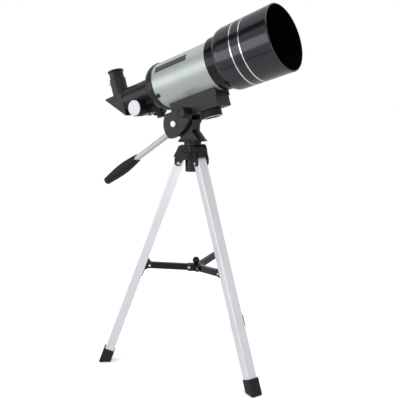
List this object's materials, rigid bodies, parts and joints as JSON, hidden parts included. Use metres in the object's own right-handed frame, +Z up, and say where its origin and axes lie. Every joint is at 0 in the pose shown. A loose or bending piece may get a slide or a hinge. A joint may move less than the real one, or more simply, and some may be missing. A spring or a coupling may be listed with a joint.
{
  "type": "telescope",
  "caption": "Small refracting telescope on a folding table tripod with a pan and tilt head, a rack focuser and a star diagonal.",
  "frame": {"origin": "point on the floor under the pan axis, midway between the feet", "axes": "+Z up; +X the way the telescope points, seen from above; +Y to the left of an observer behind the eyepiece"},
  "size_m": [0.3648, 0.2641, 0.5401],
  "materials": {
    "shield_black": "glossy moulded black",
    "trim_silver": "polished",
    "cell_black": "satin black",
    "coated_glass": "clear with a faint blue coating",
    "tube_metal": "pale green silver, finely brushed",
    "label_slate": "dark slate foil, blank",
    "inner_black": "flat black",
    "housing_black": "glossy moulded black",
    "screw_black": "black oxide",
    "saddle_black": "satin moulded black",
    "drawtube_black": "satin black",
    "screw_steel": "bright",
    "knob_black": "satin moulded black",
    "cap_silver": "silver white",
    "diagonal_black": "satin black",
    "barrel_chrome": "plated",
    "mirror_glass": "front surface mirror",
    "eyepiece_black": "satin black",
    "head_grey": "satin dark grey",
    "rod_steel": "satin",
    "grip_rubber": "matte dark grey",
    "base_black": "satin black",
    "washer_plastic": "white slip ring",
    "crown_grey": "satin dark grey",
    "leg_aluminium": "bright drawn profile",
    "foot_rubber": "moulded black",
    "bracket_black": "moulded black",
    "spreader_black": "gloss black"
  },
  "bodies": {
    "tripod": {"crown": "crown_grey", "leg_pins": "screw_steel"},
    "pan_head": {"pan_base": "base_black", "pan_washer": "washer_plastic", "pan_screw": "screw_steel"},
    "tilt_head": {"tilt_platform": "head_grey", "tilt_bolt": "screw_steel", "tilt_nuts": "screw_steel", "saddle": "saddle_black", "saddle_screws": "screw_steel", "main_tube": "tube_metal", "tube_label": "label_slate", "tube_baffle": "inner_black", "dew_shield": "shield_black", "trim_rings": "trim_silver", "objective_cell": "cell_black", "crown_lens": "coated_glass", "flint_lens": "coated_glass", "lens_retaining_ring": "cell_black", "focuser_housing": "housing_black", "flange_screws": "screw_black", "pinion_cover": "housing_black", "pinion_cover_screws": "screw_black"},
    "camera_screw": {"camera_screw": "knob_black"},
    "tilt_lock": {"tilt_lock_knob": "knob_black"},
    "handle": {"handle_rod": "rod_steel", "handle_grip": "grip_rubber"},
    "focus_lock": {"focus_lock_screw": "knob_black"},
    "drawtube": {"drawtube": "drawtube_black", "focus_rack": "drawtube_black"},
    "focus_shaft": {"focus_shaft": "screw_steel", "focus_knob_near": "knob_black", "focus_knob_far": "knob_black", "focus_caps": "cap_silver"},
    "diagonal": {"diagonal_body": "diagonal_black", "diagonal_nose": "barrel_chrome", "diagonal_mirror": "mirror_glass", "diagonal_cover": "diagonal_black", "eyepiece_holder": "housing_black"},
    "eyepiece_screw": {"eyepiece_screw": "screw_steel"},
    "eyepiece": {"eyepiece_barrel": "barrel_chrome", "eyepiece_body": "eyepiece_black", "field_lens": "coated_glass", "eye_lens": "coated_glass"},
    "spreader_hub": {"spreader_hub": "spreader_black", "hub_cap": "spreader_black", "hub_rivets": "screw_steel"},
    "leg_left": {"leg_left": "leg_aluminium", "foot_left": "foot_rubber", "bracket_left": "bracket_black"},
    "arm_left": {"arm_left": "spreader_black"},
    "leg_right": {"leg_right": "leg_aluminium", "foot_right": "foot_rubber", "bracket_right": "bracket_black"},
    "arm_right": {"arm_right": "spreader_black"},
    "leg_rear": {"leg_rear": "leg_aluminium", "foot_rear": "foot_rubber", "bracket_rear": "bracket_black"},
    "arm_rear": {"arm_rear": "spreader_black"}
  },
  "joints": [
    {"name": "pan", "type": "hinge", "parent": "tripod", "child": "pan_head", "pos_m": [0, 0, 0.34], "axis": [0, 0, 1], "continuous": true},
    {"name": "tilt", "type": "hinge", "parent": "pan_head", "child": "tilt_head", "pos_m": [-0.0222, 0, 0.3797], "axis": [0, -1, 0], "range_deg": [-27, 40]},
    {"name": "camera_screw_turn", "type": "hinge", "parent": "tilt_head", "child": "camera_screw", "pos_m": [0.03581, 0, 0.39848], "axis": [0.2588, 0, -0.9659], "range_deg": [0, 360]},
    {"name": "tilt_lock_turn", "type": "hinge", "parent": "tilt_head", "child": "tilt_lock", "pos_m": [0.00706, 0, 0.39645], "axis": [0, -1, 0], "range_deg": [0, 180]},
    {"name": "handle_turn", "type": "hinge", "parent": "tilt_head", "child": "handle", "pos_m": [-0.037, 0, 0.3683], "axis": [-0.8678, 0, -0.497], "range_deg": [0, 360]},
    {"name": "focus_lock_turn", "type": "hinge", "parent": "tilt_head", "child": "focus_lock", "pos_m": [-0.06232, 0, 0.39765], "axis": [0.2588, 0, -0.9659], "range_deg": [0, 360]},
    {"name": "focus_slide", "type": "slide", "parent": "tilt_head", "child": "drawtube", "axis": [-0.9659, 0, -0.2588], "range_m": [0, 0.045]},
    {"name": "focus_knob_turn", "type": "hinge", "parent": "tilt_head", "child": "focus_shaft", "pos_m": [-0.08718, 0, 0.40545], "axis": [0, -1, 0], "range_deg": [0, 573.96]},
    {"name": "diagonal_turn", "type": "hinge", "parent": "drawtube", "child": "diagonal", "pos_m": [-0.12866, 0, 0.41653], "axis": [0.9659, 0, 0.2588], "continuous": true},
    {"name": "eyepiece_screw_turn", "type": "hinge", "parent": "diagonal", "child": "eyepiece_screw", "pos_m": [-0.16483, 0, 0.4468], "axis": [-0.9659, 0, -0.2588], "range_deg": [0, 360]},
    {"name": "eyepiece_slide", "type": "slide", "parent": "diagonal", "child": "eyepiece", "axis": [-0.2588, 0, 0.9659], "range_m": [0, 0.024]},
    {"name": "leg_left_fold", "type": "hinge", "parent": "tripod", "child": "leg_left", "pos_m": [-0.01793, -0.01327, 0.3195], "axis": [0.5948, -0.8039, 0], "range_deg": [0, 19]},
    {"name": "leg_right_fold", "type": "hinge", "parent": "tripod", "child": "leg_right", "pos_m": [0.02045, -0.00889, 0.3195], "axis": [0.3987, 0.9171, 0], "range_deg": [0, 19]},
    {"name": "leg_rear_fold", "type": "hinge", "parent": "tripod", "child": "leg_rear", "pos_m": [-0.00252, 0.02216, 0.3195], "axis": [-0.9936, -0.1132, 0], "range_deg": [0, 19]},
    {"name": "spreader_slide", "type": "slide", "parent": "tripod", "child": "spreader_hub", "axis": [0, 0, -1], "range_m": [0, 0.06504]},
    {"name": "arm_left_turn", "type": "hinge", "parent": "spreader_hub", "child": "arm_left", "pos_m": [-0.00932, -0.0069, 0.1532], "axis": [-0.5948, 0.8039, 0], "range_deg": [0, 79.23]},
    {"name": "arm_right_turn", "type": "hinge", "parent": "spreader_hub", "child": "arm_right", "pos_m": [0.01064, -0.00462, 0.1532], "axis": [-0.3987, -0.9171, 0], "range_deg": [0, 79.23]},
    {"name": "arm_rear_turn", "type": "hinge", "parent": "spreader_hub", "child": "arm_rear", "pos_m": [-0.00131, 0.01153, 0.1532], "axis": [0.9936, 0.1132, 0], "range_deg": [0, 79.23]}
  ],
  "couplings": [
    {"joint": "focus_knob_turn", "follows": "focus_slide", "rad_per_m": 222.22},
    {"joint": "leg_right_fold", "follows": "leg_left_fold", "ratio": 1},
    {"joint": "leg_rear_fold", "follows": "leg_left_fold", "ratio": 1},
    {"joint": "spreader_slide", "follows": "leg_left_fold", "m_per_rad": 0.19553},
    {"joint": "arm_left_turn", "follows": "leg_left_fold", "ratio": 4.1594},
    {"joint": "arm_right_turn", "follows": "leg_left_fold", "ratio": 4.1594},
    {"joint": "arm_rear_turn", "follows": "leg_left_fold", "ratio": 4.1594}
  ]
}
